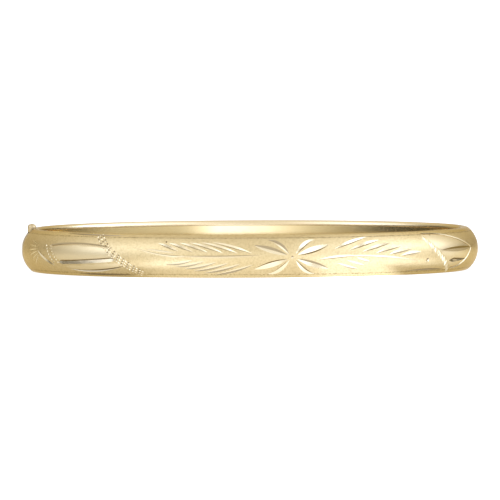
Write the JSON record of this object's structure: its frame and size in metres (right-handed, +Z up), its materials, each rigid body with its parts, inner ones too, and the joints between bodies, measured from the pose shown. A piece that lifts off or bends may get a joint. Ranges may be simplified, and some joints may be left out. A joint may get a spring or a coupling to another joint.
{
  "type": "hinged bangle bracelet",
  "caption": "Oval hinged bangle of domed gold with a bright-cut engraved front half, a sprung tongue clasp and a small thumb button.",
  "frame": {"origin": "centre of the oval, on the plane that the bangle lies on", "axes": "+X from the clasp to the hinge, +Y from the engraved front half to the back half, +Z up along the axis of the wrist opening, towards the thumb button"},
  "size_m": [0.064, 0.0564, 0.0067],
  "materials": {
    "engraved_gold": "satin ground with bright polished cuts",
    "plain_gold": "polished",
    "polished_gold": "polished",
    "hinge_gold": "polished",
    "spring_gold": "polished, slightly redder alloy"
  },
  "bodies": {
    "front_half": {"front_shell": "engraved_gold", "front_liner": "polished_gold", "front_clasp_plate": "polished_gold", "front_hinge_block": "polished_gold", "front_knuckle_upper": "hinge_gold", "front_knuckle_lower": "hinge_gold", "hinge_pin": "hinge_gold", "tongue_blade": "spring_gold", "tongue_spring": "spring_gold"},
    "back_half": {"back_shell": "plain_gold", "back_liner": "polished_gold", "back_clasp_plate": "polished_gold", "back_hinge_block": "polished_gold", "back_knuckle": "hinge_gold"},
    "thumb_piece": {"thumb_stem": "spring_gold", "thumb_button": "spring_gold"}
  },
  "joints": [
    {"name": "bangle_opening", "type": "hinge", "parent": "front_half", "child": "back_half", "pos_m": [0.03105, 0, 0.003], "axis": [0, 0, -1], "range_deg": [0, 50]},
    {"name": "thumb_press", "type": "slide", "parent": "front_half", "child": "thumb_piece", "axis": [0, 0, -1], "range_m": [0, 0.0006], "stiffness_N_per_m": 500, "deforming": ["tongue_spring"]}
  ]
}
